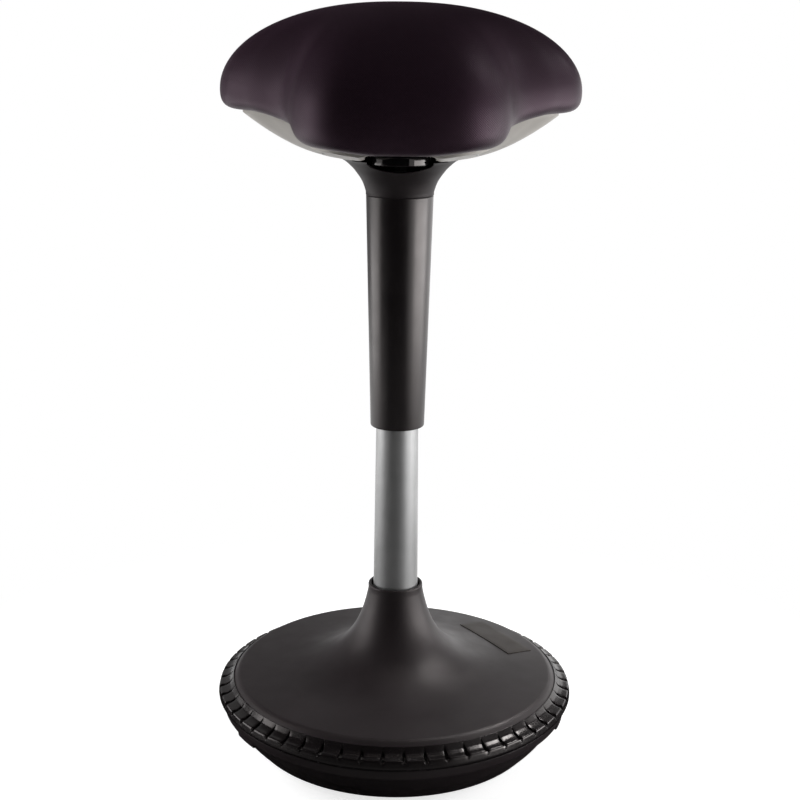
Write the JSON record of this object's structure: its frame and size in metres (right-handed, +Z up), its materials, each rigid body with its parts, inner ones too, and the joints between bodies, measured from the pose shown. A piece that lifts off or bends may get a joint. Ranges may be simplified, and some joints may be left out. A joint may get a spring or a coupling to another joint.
{
  "type": "wobble stool",
  "caption": "Height-adjustable wobble stool with a padded saddle seat, gas lift column with release lever, and a round weighted base with a rounded underside and grooved rubber rim.",
  "frame": {"origin": "on the floor under the column's axis, at the middle of the flat foot of the rounded base", "axes": "+Z up along the column; the seat's nose and the release lever face -Y; +X is to the right of a viewer who stands in front of the nose"},
  "size_m": [0.4078, 0.4077, 0.838],
  "materials": {
    "black_plastic": "satin",
    "plate": "satin",
    "tread_rubber": "matte",
    "stop_rubber": "matte",
    "cast_iron": "matte",
    "steel": "satin",
    "screw_steel": "satin",
    "silver_tube": "satin",
    "cylinder_black": "gloss",
    "guide_plastic": "satin",
    "lever_gloss": "gloss",
    "shell_plastic": "satin",
    "seat_foam": "matte",
    "seat_fabric": "matte"
  },
  "bodies": {
    "base": {"base_pan": "black_plastic", "ballast_disc": "cast_iron", "base_cover": "black_plastic", "blank_plate": "plate", "tread_ring": "tread_rubber", "hub_tube": "steel", "hub_plate": "steel", "hub_bolt_1": "screw_steel", "hub_bolt_2": "screw_steel", "hub_bolt_3": "screw_steel", "hub_bolt_4": "screw_steel", "cover_screw_1": "screw_steel", "cover_screw_2": "screw_steel", "cover_screw_3": "screw_steel", "cover_screw_4": "screw_steel", "column_tube": "silver_tube", "column_bush": "guide_plastic", "column_end_plate": "steel", "lower_race": "steel"},
    "bearing": {"ball_cage": "guide_plastic", "bearing_ball_1": "screw_steel", "bearing_ball_2": "screw_steel", "bearing_ball_3": "screw_steel", "bearing_ball_4": "screw_steel", "bearing_ball_5": "screw_steel", "bearing_ball_6": "screw_steel"},
    "rod": {"piston_rod": "steel", "piston": "guide_plastic", "rod_clip": "steel", "upper_race": "steel", "bump_stop": "stop_rubber"},
    "seat": {"gas_cylinder": "cylinder_black", "cylinder_gland": "guide_plastic", "valve_body": "steel", "valve_spring": "steel", "taper_socket": "steel", "seat_plate": "steel", "seat_bolt_1": "screw_steel", "seat_bolt_2": "screw_steel", "seat_bolt_3": "screw_steel", "seat_bolt_4": "screw_steel", "lever_pin": "steel", "column_sleeve": "black_plastic", "column_head": "black_plastic", "head_screw_1": "screw_steel", "head_screw_2": "screw_steel", "head_screw_3": "screw_steel", "seat_shell": "shell_plastic", "shell_screw_1": "screw_steel", "shell_screw_2": "screw_steel", "shell_screw_3": "screw_steel", "shell_screw_4": "screw_steel", "seat_pan": "guide_plastic", "seat_foam": "seat_foam", "seat_cover": "seat_fabric"},
    "lever": {"release_lever": "lever_gloss"},
    "valve": {"valve_pin": "steel"}
  },
  "joints": [
    {"name": "seat_swivel", "type": "hinge", "parent": "base", "child": "rod", "pos_m": [0, 0, 0.04], "axis": [0, 0, 1], "continuous": true},
    {"name": "bearing_turn", "type": "hinge", "parent": "base", "child": "bearing", "pos_m": [0, 0, 0.04], "axis": [0, 0, 1], "continuous": true},
    {"name": "seat_lift", "type": "slide", "parent": "rod", "child": "seat", "axis": [0, 0, 1], "range_m": [-0.18, 0]},
    {"name": "lever_lift", "type": "hinge", "parent": "seat", "child": "lever", "pos_m": [0, -0.027, 0.678], "axis": [-1, 0, 0], "range_deg": [0, 5], "stiffness_Nm_per_rad": 3, "springref_deg": -2.86},
    {"name": "valve_press", "type": "slide", "parent": "seat", "child": "valve", "axis": [0, 0, -1], "range_m": [0, 0.0025], "deforming": ["valve_spring"]}
  ],
  "couplings": [
    {"joint": "bearing_turn", "follows": "seat_swivel", "ratio": 0.5},
    {"joint": "valve_press", "follows": "lever_lift", "m_per_rad": 0.027}
  ]
}
